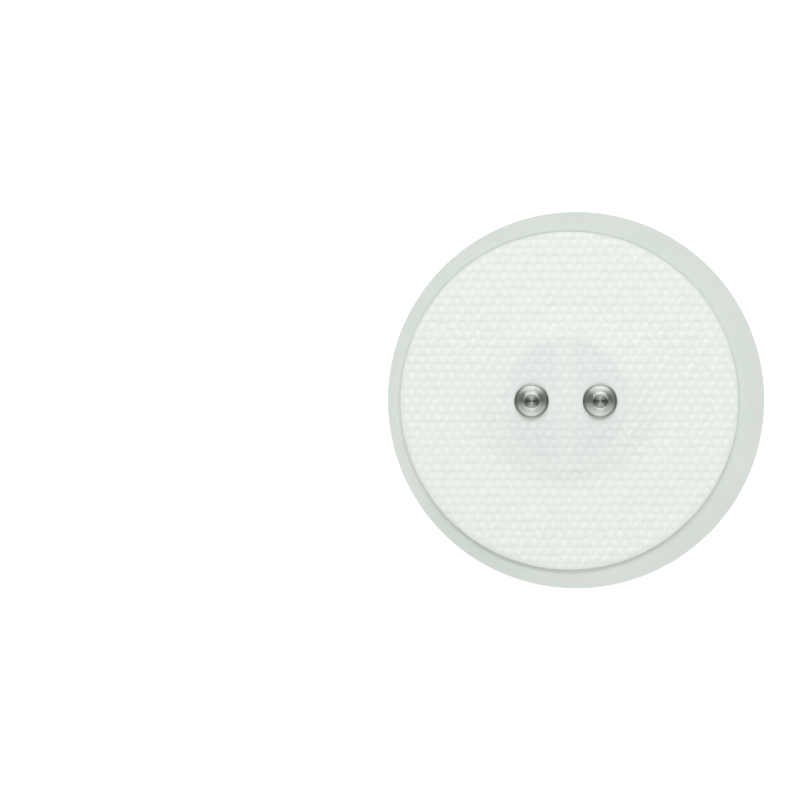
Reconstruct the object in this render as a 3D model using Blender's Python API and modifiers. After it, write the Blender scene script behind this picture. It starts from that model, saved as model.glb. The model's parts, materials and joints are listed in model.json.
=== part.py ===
"""Round electrode pad: a woven cloth disc with two snap studs, lying on its clear release liner.

Units are metres and +Z is up. The origin is the middle of the liner's underside, +X runs along
the line through both snap studs, and the studs point up.
"""

import math

import bmesh
import bpy

MM = 0.001

# Plan of the pad, seen from above
LINER_DIAMETER = 79.2 * MM
CLOTH_DIAMETER = 71.0 * MM
CLOTH_CENTRE = (-1.43 * MM, -0.1 * MM)
SNAP_SPACING = 14.4 * MM
SNAP_MIDDLE = (-2.21 * MM, -0.2 * MM)

# Half-moon contacts under the cloth: each is a disc cut off along a straight side
CONTACT_RADIUS = 13.5 * MM
CONTACT_DISC_OFFSET = 0.4 * MM
CONTACT_HALF_GAP = 1.68 * MM
GEL_OVERHANG = 0.35 * MM
CONTACT_CORNER = 0.5 * MM

# Thickness of each layer, and the hair's breadth that keeps touching layers apart
LINER_THICKNESS = 0.2 * MM
GEL_THICKNESS = 0.6 * MM
FILM_THICKNESS = 0.2 * MM
EYELET_THICKNESS = 0.3 * MM
CLOTH_THICKNESS = 0.75 * MM
CLAMPED_CLOTH = 0.52 * MM
LAYER_GAP = 0.02 * MM

# Levels of the stack, from the liner up
CLOTH_BOTTOM = LINER_THICKNESS + LAYER_GAP
GEL_BOTTOM = CLOTH_BOTTOM
FILM_BOTTOM = GEL_BOTTOM + GEL_THICKNESS + LAYER_GAP
EYELET_BOTTOM = FILM_BOTTOM + FILM_THICKNESS + LAYER_GAP
EYELET_TOP = EYELET_BOTTOM + EYELET_THICKNESS
STUD_SEAT = EYELET_TOP + LAYER_GAP + CLAMPED_CLOTH
STUD_BOTTOM = STUD_SEAT + LAYER_GAP

# Mound that the cloth makes over the contacts, stretched a little thinner at their edge
HOLLOW_HEIGHT = EYELET_BOTTOM - CLOTH_BOTTOM
HOLLOW_TOP_RADIUS = 14.0 * MM
HOLLOW_FOOT_RADIUS = 18.5 * MM
HOLLOW_RINGS = 6
CLOTH_STRETCH = 0.15 * MM
MOUND_HEIGHT = HOLLOW_HEIGHT - CLOTH_STRETCH
MOUND_TOP_RADIUS = 13.0 * MM
MOUND_FOOT_RADIUS = 20.0 * MM

# Low dome that the two eyelets add, round the line between the snaps, and the furrow across it
DOME_HEIGHT = 0.35 * MM
DOME_TOP_REACH = 4.5 * MM
DOME_FOOT_REACH = 13.0 * MM
FURROW_DEPTH = 0.08 * MM
FURROW_WIDTH = 1.7 * MM

# Weave: a bump where each thick thread floats, laid like bricks
WEAVE_PITCH = 2.14 * MM
WEAVE_ROW = 1.75 * MM
WEAVE_HEIGHT = 0.2 * MM

# Snap stud, drawn from thin sheet
STUD_HEIGHT = 2.6 * MM
STUD_SHEET = 0.25 * MM
HEAD_RADIUS = 2.0 * MM
DISH_RADIUS = 1.6 * MM
DISH_DEPTH = 0.2 * MM
NECK_RADIUS = 1.6 * MM
FLANGE_RADIUS = 3.62 * MM
FLANGE_LEVEL = 0.52 * MM

# Eyelet that holds the stud from below
EYELET_RADIUS = 5.0 * MM
POST_RADIUS = 1.22 * MM
POST_BORE = 0.95 * MM
POST_SWELL = 1.45 * MM
POST_HEIGHT = 1.96 * MM

# Room that the cloth leaves round the metal
SIDE_GAP = 0.1 * MM
POST_HOLE_RADIUS = 1.5 * MM

LINER_SIDES = 96
CLOTH_SIDES = 120
HOLLOW_SIDES = 72
TURNED_SIDES = 28
ARC_POINTS = 40
CORNER_POINTS = 4
MERGE_DISTANCE = 0.001 * MM
CUTTER_REACH = 5.0 * MM

SIDES = {"left": -1, "right": 1}


def snap_centre(side):
    """Place of one snap on the plan."""
    return (SNAP_MIDDLE[0] + side * SNAP_SPACING / 2, SNAP_MIDDLE[1])


def ease(share):
    """A smooth rise from 0 to 1, as cloth bends over an edge."""
    share = min(max(share, 0.0), 1.0)
    return 0.5 - 0.5 * math.cos(math.pi * share)


def clear_scene():
    """Take away whatever the startup file holds."""
    for old in list(bpy.data.objects):
        bpy.data.objects.remove(old, do_unlink=True)


def new_collection(name):
    """A collection linked to the scene."""
    collection = bpy.data.collections.new(name)
    bpy.context.scene.collection.children.link(collection)
    return collection


def new_material(name, colour, roughness, metallic=0.0, alpha=1.0):
    """A plain Principled material."""
    material = bpy.data.materials.new(name)
    material.use_nodes = True
    shader = material.node_tree.nodes["Principled BSDF"]
    shader.inputs["Base Color"].default_value = (*colour, 1.0)
    shader.inputs["Roughness"].default_value = roughness
    shader.inputs["Metallic"].default_value = metallic
    shader.inputs["Alpha"].default_value = alpha
    return material


def add_mesh(name, mesh, collection, place=(0.0, 0.0, 0.0)):
    """An object for a finished mesh."""
    piece = bpy.data.objects.new(name, mesh)
    piece.location = place
    collection.objects.link(piece)
    return piece


def mesh_from(name, shape):
    """Turn a bmesh into a mesh and free it."""
    mesh = bpy.data.meshes.new(name)
    shape.to_mesh(mesh)
    shape.free()
    return mesh


def add_disc(name, diameter, low, high, centre, sides, collection):
    """A flat round slab between two levels."""
    shape = bmesh.new()
    bmesh.ops.create_cone(
        shape,
        cap_ends=True,
        segments=sides,
        radius1=diameter / 2,
        radius2=diameter / 2,
        depth=high - low,
    )
    return add_mesh(name, mesh_from(name, shape), collection, (*centre, (low + high) / 2))


def add_turned(name, profile, place, sides, collection):
    """Spin a profile of (radius, height) points round the vertical axis."""
    points = [(radius, 0.0, height) for radius, height in profile]
    edges = [(i, i + 1) for i in range(len(points) - 1)]
    mesh = bpy.data.meshes.new(name)
    mesh.from_pydata(points, edges, [])
    piece = add_mesh(name, mesh, collection, place)
    spin = piece.modifiers.new("Spin", "SCREW")
    spin.axis = "Z"
    spin.steps = sides
    spin.render_steps = sides
    spin.use_merge_vertices = True
    spin.merge_threshold = MERGE_DISTANCE
    return piece


def as_cutter(piece):
    """Mark a helper shape that is no part of the pad."""
    piece.hide_render = True
    piece.display_type = "WIRE"
    return piece


def cut(piece, cutter, operation):
    """Add one Boolean to a piece."""
    boolean = piece.modifiers.new(cutter.name, "BOOLEAN")
    boolean.operation = operation
    boolean.object = cutter


def arc(centre, radius, start, end, points):
    """Points along an arc of a circle, from one angle to another."""
    angles = [start + (end - start) * i / (points - 1) for i in range(points)]
    return [(centre[0] + radius * math.cos(a), centre[1] + radius * math.sin(a)) for a in angles]


def half_moon(radius, flat, corner):
    """Outline of a disc cut off at x = flat, with its two sharp corners rounded."""
    inner = radius - corner
    corner_x = flat + corner
    corner_y = math.sqrt(inner**2 - corner_x**2)
    lean = math.atan2(corner_y, corner_x)
    outline = arc((0.0, 0.0), radius, -lean, lean, ARC_POINTS)
    outline += arc((corner_x, corner_y), corner, lean, math.pi, CORNER_POINTS + 2)[1:]
    outline += arc((corner_x, -corner_y), corner, -math.pi, -lean, CORNER_POINTS + 2)[:-1]
    return outline


def add_half_moon(name, side, overhang, low, thickness, collection):
    """A half-moon sheet: a filled curve, mirrored by turning it half round for the left side."""
    curve = bpy.data.curves.new(name, "CURVE")
    curve.dimensions = "2D"
    curve.fill_mode = "BOTH"
    curve.extrude = thickness / 2
    flat = CONTACT_HALF_GAP - CONTACT_DISC_OFFSET - overhang
    outline = half_moon(CONTACT_RADIUS + overhang, flat, CONTACT_CORNER)
    spline = curve.splines.new("POLY")
    spline.points.add(len(outline) - 1)
    for point, (x, y) in zip(spline.points, outline):
        point.co = (x, y, 0.0, 1.0)
    spline.use_cyclic_u = True
    piece = bpy.data.objects.new(name, curve)
    middle_x = SNAP_MIDDLE[0] + side * CONTACT_DISC_OFFSET
    piece.location = (middle_x, SNAP_MIDDLE[1], low + thickness / 2)
    piece.rotation_euler[2] = 0.0 if side > 0 else math.pi
    collection.objects.link(piece)
    return piece


def smooth_cloth_top(x, y):
    """Level of the cloth's top without its weave."""
    across = x - SNAP_MIDDLE[0]
    along = y - SNAP_MIDDLE[1]
    out = math.hypot(across, along)
    mound = ease((MOUND_FOOT_RADIUS - out) / (MOUND_FOOT_RADIUS - MOUND_TOP_RADIUS))
    past_snap = max(abs(across) - SNAP_SPACING / 2, 0.0)
    away = math.hypot(past_snap, along)
    dome = ease((DOME_FOOT_REACH - away) / (DOME_FOOT_REACH - DOME_TOP_REACH))
    furrow = FURROW_DEPTH * math.exp(-((across / FURROW_WIDTH) ** 2))
    return CLOTH_BOTTOM + CLOTH_THICKNESS + (MOUND_HEIGHT - furrow) * mound + DOME_HEIGHT * dome


def woven_slab(name):
    """A slab whose top is the weave: a grid of pyramids, one for each floating thread."""
    column_step = WEAVE_PITCH / 2
    reach = CLOTH_DIAMETER / 2 + WEAVE_PITCH
    columns = 2 * math.ceil(reach / column_step)
    rows = 2 * math.ceil(reach / WEAVE_ROW)
    shape = bmesh.new()
    bmesh.ops.create_grid(shape, x_segments=columns, y_segments=rows, size=1.0)
    high_points = set()
    for vertex in shape.verts:
        column = round(vertex.co.x * columns / 2)
        row = round(vertex.co.y * rows / 2)
        vertex.co.x = column * column_step + CLOTH_CENTRE[0]
        vertex.co.y = row * WEAVE_ROW + CLOTH_CENTRE[1]
        vertex.co.z = smooth_cloth_top(vertex.co.x, vertex.co.y)
        if (column + row) % 2 == 0:
            high_points.add(vertex)
            vertex.co.z += WEAVE_HEIGHT / 2
        else:
            vertex.co.z -= WEAVE_HEIGHT / 2
    for face in list(shape.faces):
        low_pair = [vertex for vertex in face.verts if vertex not in high_points]
        bmesh.utils.face_split(face, *low_pair)
    below = bmesh.ops.extrude_face_region(shape, geom=shape.faces[:])
    for item in below["geom"]:
        if isinstance(item, bmesh.types.BMVert):
            item.co.z = -CUTTER_REACH / 2
    bmesh.ops.recalc_face_normals(shape, faces=shape.faces[:])
    return mesh_from(name, shape)


def hollow_profile():
    """The cloth's domed underside, from the middle out, with a flat border."""
    profile = [(0.0, EYELET_BOTTOM)]
    for step in range(HOLLOW_RINGS + 1):
        share = step / HOLLOW_RINGS
        radius = HOLLOW_TOP_RADIUS + share * (HOLLOW_FOOT_RADIUS - HOLLOW_TOP_RADIUS)
        profile.append((radius, CLOTH_BOTTOM + HOLLOW_HEIGHT * ease(1 - share)))
    rim = CLOTH_DIAMETER / 2 + CUTTER_REACH
    profile += [(rim, CLOTH_BOTTOM), (rim, -CUTTER_REACH), (0.0, -CUTTER_REACH)]
    return profile


def snap_hole_profile():
    """The hole for one snap: the stud's seat, the post's hole, then room for the eyelet."""
    seat = FLANGE_RADIUS + SIDE_GAP
    recess = EYELET_RADIUS + SIDE_GAP
    top = STUD_SEAT + CUTTER_REACH
    return [
        (0.0, top),
        (seat, top),
        (seat, STUD_SEAT),
        (POST_HOLE_RADIUS, STUD_SEAT),
        (POST_HOLE_RADIUS, EYELET_TOP + LAYER_GAP),
        (recess, EYELET_TOP + LAYER_GAP),
        (recess, CLOTH_BOTTOM),
        (0.0, CLOTH_BOTTOM),
    ]


def stud_profile():
    """Section of the snap stud: dished head, neck, flange with a rolled edge, and its hollow."""
    top = STUD_HEIGHT
    dish = top - DISH_DEPTH
    edge = FLANGE_RADIUS
    level = FLANGE_LEVEL
    outside = [
        (0.0, dish),
        (0.2 * DISH_RADIUS, dish + 0.01 * MM),
        (DISH_RADIUS, top - 0.04 * MM),
        (HEAD_RADIUS - 0.22 * MM, top),
        (HEAD_RADIUS - 0.06 * MM, top - 0.08 * MM),
        (HEAD_RADIUS, top - 0.26 * MM),
        (HEAD_RADIUS - 0.03 * MM, top - 0.5 * MM),
        (HEAD_RADIUS - 0.25 * MM, top - 0.95 * MM),
        (NECK_RADIUS, level + 0.75 * MM),
        (NECK_RADIUS + 0.05 * MM, level + 0.25 * MM),
        (NECK_RADIUS + 0.25 * MM, level + 0.07 * MM),
        (NECK_RADIUS + 0.6 * MM, level),
        (edge - 0.62 * MM, level),
        (edge - 0.54 * MM, level - 0.04 * MM),
        (edge - 0.22 * MM, level - 0.06 * MM),
        (edge - 0.06 * MM, level - 0.13 * MM),
        (edge, level - 0.26 * MM),
        (edge - 0.04 * MM, 0.09 * MM),
        (edge - 0.2 * MM, 0.0),
    ]
    inside = [
        (edge - 0.4 * MM, 0.0),
        (edge - 0.55 * MM, level - STUD_SHEET),
        (NECK_RADIUS + 0.4 * MM, level - STUD_SHEET),
        (NECK_RADIUS - 0.12 * MM, level + 0.05 * MM),
        (NECK_RADIUS - STUD_SHEET, level + 0.4 * MM),
        (NECK_RADIUS - STUD_SHEET, level + 0.8 * MM),
        (HEAD_RADIUS - 0.36 * MM, top - 0.72 * MM),
        (HEAD_RADIUS - STUD_SHEET, top - 0.4 * MM),
        (HEAD_RADIUS - 0.45 * MM, top - 0.28 * MM),
        (0.2 * DISH_RADIUS, dish - STUD_SHEET),
        (0.0, dish - STUD_SHEET),
    ]
    return outside + inside


def eyelet_profile():
    """Section of the eyelet: a hollow post, swelled inside the stud's head, on a wide flange."""
    seat = STUD_BOTTOM
    return [
        (0.0, seat + POST_HEIGHT),
        (POST_SWELL - 0.15 * MM, seat + POST_HEIGHT),
        (POST_SWELL, seat + POST_HEIGHT - 0.12 * MM),
        (POST_SWELL - 0.08 * MM, seat + POST_HEIGHT - 0.36 * MM),
        (POST_RADIUS, seat + POST_HEIGHT - 0.65 * MM),
        (POST_RADIUS, EYELET_TOP + 0.12 * MM),
        (POST_RADIUS + 0.12 * MM, EYELET_TOP),
        (EYELET_RADIUS - 0.1 * MM, EYELET_TOP),
        (EYELET_RADIUS, EYELET_TOP - 0.1 * MM),
        (EYELET_RADIUS, EYELET_BOTTOM),
        (POST_BORE + 0.15 * MM, EYELET_BOTTOM),
        (POST_BORE, EYELET_BOTTOM + 0.15 * MM),
        (POST_BORE, seat + POST_HEIGHT - STUD_SHEET),
        (0.0, seat + POST_HEIGHT - STUD_SHEET),
    ]


def make_release_liner(collection, material):
    """The clear film disc that keeps the adhesive clean."""
    liner = add_disc(
        "release_liner", LINER_DIAMETER, 0.0, LINER_THICKNESS, (0.0, 0.0), LINER_SIDES, collection
    )
    liner.data.materials.append(material)


def make_cloth_backing(collection, cutters, material):
    """The woven tape disc, domed over the contacts and pierced for both snaps."""
    cloth = add_mesh("cloth_backing", woven_slab("cloth_backing"), collection)
    cloth.data.materials.append(material)
    outline = add_disc(
        "cloth_outline",
        CLOTH_DIAMETER,
        -CUTTER_REACH,
        CUTTER_REACH,
        CLOTH_CENTRE,
        CLOTH_SIDES,
        cutters,
    )
    cut(cloth, as_cutter(outline), "INTERSECT")
    hollow = add_turned(
        "cloth_hollow", hollow_profile(), (*SNAP_MIDDLE, 0.0), HOLLOW_SIDES, cutters
    )
    cut(cloth, as_cutter(hollow), "DIFFERENCE")
    for name, side in SIDES.items():
        hole = add_turned(
            f"snap_hole_{name}",
            snap_hole_profile(),
            (*snap_centre(side), 0.0),
            TURNED_SIDES,
            cutters,
        )
        cut(cloth, as_cutter(hole), "DIFFERENCE")


def make_snaps(collection, metal):
    """Both studs, each with the eyelet that rivets it to the cloth."""
    for name, side in SIDES.items():
        centre = snap_centre(side)
        stud = add_turned(
            f"stud_{name}", stud_profile(), (*centre, STUD_BOTTOM), TURNED_SIDES, collection
        )
        eyelet = add_turned(
            f"eyelet_{name}", eyelet_profile(), (*centre, 0.0), TURNED_SIDES, collection
        )
        stud.data.materials.append(metal)
        eyelet.data.materials.append(metal)


def make_contacts(collection, carbon, gel):
    """The black conductive half-moons, each under the gel that touches the skin."""
    for name, side in SIDES.items():
        film = add_half_moon(
            f"contact_{name}", side, 0.0, FILM_BOTTOM, FILM_THICKNESS, collection
        )
        layer = add_half_moon(
            f"gel_{name}", side, GEL_OVERHANG, GEL_BOTTOM, GEL_THICKNESS, collection
        )
        film.data.materials.append(carbon)
        layer.data.materials.append(gel)


def main():
    """Build the whole pad."""
    clear_scene()
    pad = new_collection("electrode_pad")
    cutters = new_collection("cutters")
    cloth = new_material("white_cloth", (0.87, 0.89, 0.87), 0.85)
    film = new_material("clear_film", (0.80, 0.85, 0.82), 0.25, alpha=0.4)
    metal = new_material("nickel_plate", (0.62, 0.61, 0.58), 0.25, metallic=1.0)
    carbon = new_material("black_carbon", (0.03, 0.03, 0.03), 0.4)
    gel = new_material("clear_gel", (0.85, 0.88, 0.86), 0.1, alpha=0.4)
    make_release_liner(pad, film)
    make_cloth_backing(pad, cutters, cloth)
    make_snaps(pad, metal)
    make_contacts(pad, carbon, gel)


main()
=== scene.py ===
# %% [markdown]
# An electrode pad on its release liner, dressed for the camera.
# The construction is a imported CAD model, loaded below as a fixed frame that nothing here moves.
# Each step first says what a piece or a finish is on the real pad, how it could be made in
# Blender, and why one way was chosen. All lengths are in metres.

# %% Load the frame
import json
import math

import bmesh
import bpy
import numpy as np
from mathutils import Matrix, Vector

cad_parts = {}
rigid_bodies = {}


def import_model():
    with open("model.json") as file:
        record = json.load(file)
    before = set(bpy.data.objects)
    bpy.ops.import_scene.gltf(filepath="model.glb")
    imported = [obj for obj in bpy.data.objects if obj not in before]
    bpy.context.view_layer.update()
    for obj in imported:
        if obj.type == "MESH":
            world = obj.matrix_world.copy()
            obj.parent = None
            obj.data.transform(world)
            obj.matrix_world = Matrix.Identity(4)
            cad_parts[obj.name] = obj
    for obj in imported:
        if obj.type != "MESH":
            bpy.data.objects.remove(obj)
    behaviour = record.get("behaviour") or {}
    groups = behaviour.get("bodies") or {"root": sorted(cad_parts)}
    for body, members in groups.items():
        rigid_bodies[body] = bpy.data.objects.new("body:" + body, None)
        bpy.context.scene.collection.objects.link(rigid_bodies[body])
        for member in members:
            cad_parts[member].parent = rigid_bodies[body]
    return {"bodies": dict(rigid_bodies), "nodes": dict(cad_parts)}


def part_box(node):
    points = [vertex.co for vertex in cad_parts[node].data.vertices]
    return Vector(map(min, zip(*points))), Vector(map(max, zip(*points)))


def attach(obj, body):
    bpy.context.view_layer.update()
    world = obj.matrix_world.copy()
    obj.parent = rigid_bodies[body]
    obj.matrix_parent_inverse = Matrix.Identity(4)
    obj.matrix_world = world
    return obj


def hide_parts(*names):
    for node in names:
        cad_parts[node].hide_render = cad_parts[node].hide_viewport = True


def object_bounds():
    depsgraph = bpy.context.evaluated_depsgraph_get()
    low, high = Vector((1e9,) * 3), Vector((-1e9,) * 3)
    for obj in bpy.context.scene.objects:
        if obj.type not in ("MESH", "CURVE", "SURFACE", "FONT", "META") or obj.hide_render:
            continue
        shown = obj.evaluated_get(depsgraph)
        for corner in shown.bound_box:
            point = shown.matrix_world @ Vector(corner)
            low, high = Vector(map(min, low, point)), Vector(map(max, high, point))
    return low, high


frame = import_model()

MM = 0.001
print("CAD nodes:", len(frame["nodes"]))

# %% [markdown]
# A new Blender file may hold a cube, a lamp and a camera. They are taken out first, so that only
# the frame and what this script makes is left. Then the frame's box is measured, before anything
# is added to it.

# %% Clear the startup objects and measure the frame
keep = set(frame["nodes"].values()) | set(frame["bodies"].values())
for old in [thing for thing in bpy.data.objects if thing not in keep]:
    bpy.data.objects.remove(old, do_unlink=True)
cad_low, cad_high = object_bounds()
print("CAD box in mm:", [round(side / MM, 2) for side in cad_high - cad_low])

# %% [markdown]
# The pieces are placed by the CAD boxes, so no length has to be fitted afterwards.
# Both studs give the middle of the raised part, and the cloth and the liner give their own.

# %% Read the places from the frame
liner_low, liner_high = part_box("release_liner")
cloth_low, cloth_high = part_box("cloth_backing")
film_low, film_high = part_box("contact_right")
stud_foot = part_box("stud_left")[0].z
eyelet_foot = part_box("eyelet_left")[0].z

SIDES = {"left": -1, "right": 1}
DISC_OFFSET = 0.4 * MM       # each half-moon's own centre lies this far from the pad's middle


def middle_of(node):
    """The middle of a CAD node on the plan."""
    low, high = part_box(node)
    return ((low.x + high.x) / 2, (low.y + high.y) / 2)


liner_radius = (liner_high.x - liner_low.x) / 2
cloth_centre = middle_of("cloth_backing")
cloth_radius = (cloth_high.x - cloth_low.x) / 2
snap_centres = {name: middle_of(f"stud_{name}") for name in SIDES}
pad_middle = tuple(sum(axis) / 2 for axis in zip(*snap_centres.values()))
print("cloth radius in mm:", round(cloth_radius / MM, 2))
print("snap spacing in mm:", round((snap_centres["right"][0] - snap_centres["left"][0]) / MM, 2))

# %% [markdown]
# Every new mesh is linked to the scene and rides on the pad's one body.
# One short helper does this for each piece, and also hides the CAD nodes that it stands for.


# %% Helper that adds a finished mesh
def add_piece(name, mesh, material, finish, *stands_for):
    """Link a mesh as a piece of the pad."""
    piece = bpy.data.objects.new(name, mesh)
    bpy.context.scene.collection.objects.link(piece)
    mesh.materials.append(material)
    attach(piece, "root")
    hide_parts(*stands_for)
    print(name, "faces:", len(mesh.polygons))
    return piece


# %% [markdown]
# A material is a Principled shader with a few values set on its own sockets.
# This helper makes one and hands back its nodes, so that each finish below only adds
# the texture that it needs.


# %% Helper that starts a material
def start_material(name, **values):
    """A Principled material and its node tree."""
    material = bpy.data.materials.new(name)
    material.use_nodes = True
    tree = material.node_tree
    shader = tree.nodes["Principled BSDF"]
    for socket, value in values.items():
        shader.inputs[socket.replace("_", " ")].default_value = value
    return material, tree, shader


def add_node(tree, kind, **settings):
    """A shader node with its settings, and its plain inputs by name."""
    node = tree.nodes.new(kind)
    for key, value in settings.items():
        if hasattr(node, key):
            setattr(node, key, value)
        else:
            node.inputs[key.replace("_", " ")].default_value = value
    return node


def add_bump(tree, shader, height, strength, distance):
    """Send a height to the shader's normal."""
    bump = add_node(tree, "ShaderNodeBump", Strength=strength, Distance=distance)
    tree.links.new(height, bump.inputs["Height"])
    tree.links.new(bump.outputs["Normal"], shader.inputs["Normal"])


# %% [markdown]
# The cloth is a plain weave of thick white yarn. Where a lengthwise yarn passes over a
# crosswise one it makes a raised float, and the floats stand in rows like bricks, because each
# row lifts the yarns that the last one left down. Between them shows the crosswise yarn, lower.
# A bump map alone would stay flat at the edge, so the weave is real height on a fine grid.
# A float is an egg-shaped cushion, the crosswise yarn is a long low ridge, and the higher shows.
# No two floats on real yarn are alike, so each has its own height, size, lean and small shift.

# %% Yarn sizes
FLOAT_PITCH = 2.14 * MM      # from one float to the next in a row
ROW_PITCH = 1.75 * MM        # from one row to the next
FLOAT_HEIGHT = 0.17 * MM     # over the valley between two rows
FLOAT_WIDTH = 0.70 * MM      # half of it, across the yarn
FLOAT_LENGTH = 1.05 * MM     # half of it, along the yarn
FLOAT_POWER = 1.2            # 0.5 is an egg, and a higher one is more pointed
FLOAT_SLIP = 0.14 * MM       # how far its middle lies past the crosswise yarn
CROSS_HEIGHT = 0.06 * MM     # of the crosswise yarn between two floats
CROSS_WIDTH = 0.91 * MM      # half of it
CREASE_DEPTH = 0.09 * MM     # anything lower lies in a crease
FLOAT_LEAN = 0.12            # the yarn's twist leans each float
HEIGHT_SPREAD = 0.20         # how much one float differs from the next, as a share
WIDTH_SPREAD = 0.14
LEAN_SPREAD = 0.20
SLIDE_SPREAD = 0.08 * MM     # how far it is out of place across the yarn
DRIFT_SPREAD = 0.07 * MM     # and along it
WEAVE_SEED = 7
SPARE_FLOATS = 8             # the table reaches a little past the cloth's edge

column_count = 2 * math.ceil(cloth_radius / FLOAT_PITCH) + SPARE_FLOATS
row_count = 2 * math.ceil(cloth_radius / ROW_PITCH) + SPARE_FLOATS
float_table = np.random.default_rng(WEAVE_SEED).normal(0.0, 1.0, (5, column_count, row_count))
print("floats in a row:", column_count, "rows:", row_count)


# %% Height of the weave at any place
def weave_row(x, y, row):
    """Height of one row of floats and of the crosswise yarn under them."""
    half_step = 0.5 * (row % 2)
    column = np.round(x / FLOAT_PITCH - half_step).astype(int)
    lift, swell, lean, slide, drift = float_table[:, column + column_count // 2, row + row_count // 2]
    along = y - row * ROW_PITCH - DRIFT_SPREAD * drift
    leaning = (FLOAT_LEAN + LEAN_SPREAD * lean) * along
    across = x - (column + half_step) * FLOAT_PITCH - SLIDE_SPREAD * slide - leaning
    width = FLOAT_WIDTH * (1 + WIDTH_SPREAD * swell)
    spread = (across / width) ** 2 + ((along + FLOAT_SLIP) / FLOAT_LENGTH) ** 2
    cushion = FLOAT_HEIGHT * (1 + HEIGHT_SPREAD * lift) * np.maximum(1 - spread, 0.0) ** FLOAT_POWER
    ridge = CROSS_HEIGHT * np.sqrt(np.maximum(1 - (along / CROSS_WIDTH) ** 2, 0.0))
    return np.maximum(cushion, ridge)


def weave(x, y):
    """Height of the woven face over its valleys, and how deep in a crease it is, which sets the painted
    shade there.
    """
    x = x - cloth_centre[0]
    y = y - cloth_centre[1]
    row = np.floor(y / ROW_PITCH).astype(int)
    height = np.maximum(weave_row(x, y, row), weave_row(x, y, row + 1))
    painted_shade = np.clip(1 - height / CREASE_DEPTH, 0.0, 1.0)
    return height, painted_shade


# %% Measure the weave along a slanting line
SAMPLE_X = (-0.02, 0.02)
SAMPLE_Y = (-0.013, 0.017)
SAMPLE_POINTS = 4000

sample = weave(np.linspace(*SAMPLE_X, SAMPLE_POINTS), np.linspace(*SAMPLE_Y, SAMPLE_POINTS))[0]
weave_middle = float(sample.mean())
print("weave up to", round(sample.max() / MM, 3), "mm, on average", round(weave_middle / MM, 3))

# %% [markdown]
# The cloth lies flat on the liner at its border and climbs over the stack of gel, film and
# eyelets in the middle. A simulated drape would wander by a fraction of a millimetre, which is
# as much as the layers are thick, so the shape is a formula. The mound has a round top, like the
# stack, and an oval foot, because the cloth bends less easily along the line of the studs. On it
# are a low dome over the two eyelets, a faint furrow over the gap between the contacts, and a
# flat seat pressed in under each stud.

# %% Sizes of the mound
CLOTH_THICKNESS = 0.75 * MM
UNDER_WEAVE = 0.35           # share of the weave's height on the sticky side
MOUND_TOP = 13.0 * MM        # radius of the top
MOUND_FOOT = 20.0 * MM       # radius where the cloth is down again
HOLLOW_TOP = 14.0 * MM       # the same two on the underside
HOLLOW_FOOT = 18.5 * MM
MOUND_OVAL = 0.12            # the foot reaches this share further along the studs, and less across
STRETCH = 0.15 * MM          # how much thinner the cloth gets over the stack's edge
DOME_HEIGHT = 0.35 * MM      # of the dome over the two eyelets
DOME_TOP = 4.5 * MM
DOME_FOOT = 13.0 * MM
FURROW_DEPTH = 0.08 * MM     # of the furrow over the gap
FURROW_WIDTH = 1.7 * MM
EYELET_SHEET = 0.3 * MM
ROOF_FROM, ROOF_TO = 5.3 * MM, 6.2 * MM     # the underside passes over each eyelet's flange
TOUCH_GAP = 0.02 * MM        # pieces that touch keep this much apart

# %% Sizes of the seats and the cut edge
SEAT_EDGE = 3.68 * MM        # the seat is flat this far from a stud's axis
SEAT_LIP = 4.5 * MM          # and the cloth is back at its own level here
# Painted shade: the dip round each stud and the cut edge are darkened in the cloth's colour.
SEAT_SHADE_TO = 5.1 * MM     # how far from a stud its dip is darker
WEAVE_BACK = 5.68 * MM       # how far from a stud the weave has its full height again
PRESS_SHADE = 0.35           # how much darker the dip round a stud is
RIM_WIDTH = 1.2 * MM         # how far in the cut edge is pressed down
RIM_DROP = 0.12 * MM
RIM_WEAVE = 0.5              # share of the weave's height that the cut edge keeps
RIM_SHADE = 0.5              # how much darker the cut edge is

cloth_bottom = cloth_low.z
mound_height = eyelet_foot - cloth_bottom
seat_level = stud_foot - TOUCH_GAP
half_spacing = (snap_centres["right"][0] - snap_centres["left"][0]) / 2
print("mound in mm:", round(mound_height / MM, 2), "seat in mm:", round(seat_level / MM, 2))


# %% How the mound rises
def ease(share):
    """A smooth rise from 0 to 1, as cloth bends over an edge."""
    return 0.5 - 0.5 * np.cos(math.pi * np.clip(share, 0.0, 1.0))


def distance_from(x, y, centre):
    """How far places on the plan are from a centre."""
    return np.hypot(x - centre[0], y - centre[1])


def mound(x, y, top, foot):
    """1 on the mound's round top, 0 beyond its oval foot."""
    angle = np.arctan2(y - pad_middle[1], x - pad_middle[0])
    reach = foot * (1 + MOUND_OVAL * np.cos(2 * angle))
    return ease((reach - distance_from(x, y, pad_middle)) / (reach - top))


def dome(x, y):
    """1 along the line between the studs, falling to 0 at the edge of the contacts."""
    past_stud = np.maximum(np.abs(x - pad_middle[0]) - half_spacing, 0.0)
    away = np.hypot(past_stud, y - pad_middle[1])
    return ease((DOME_FOOT - away) / (DOME_FOOT - DOME_TOP))


def cloth_rim(x, y):
    """0 at the cut edge of the cloth, 1 a little way in."""
    return ease((cloth_radius - distance_from(x, y, cloth_centre)) / RIM_WIDTH)


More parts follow.
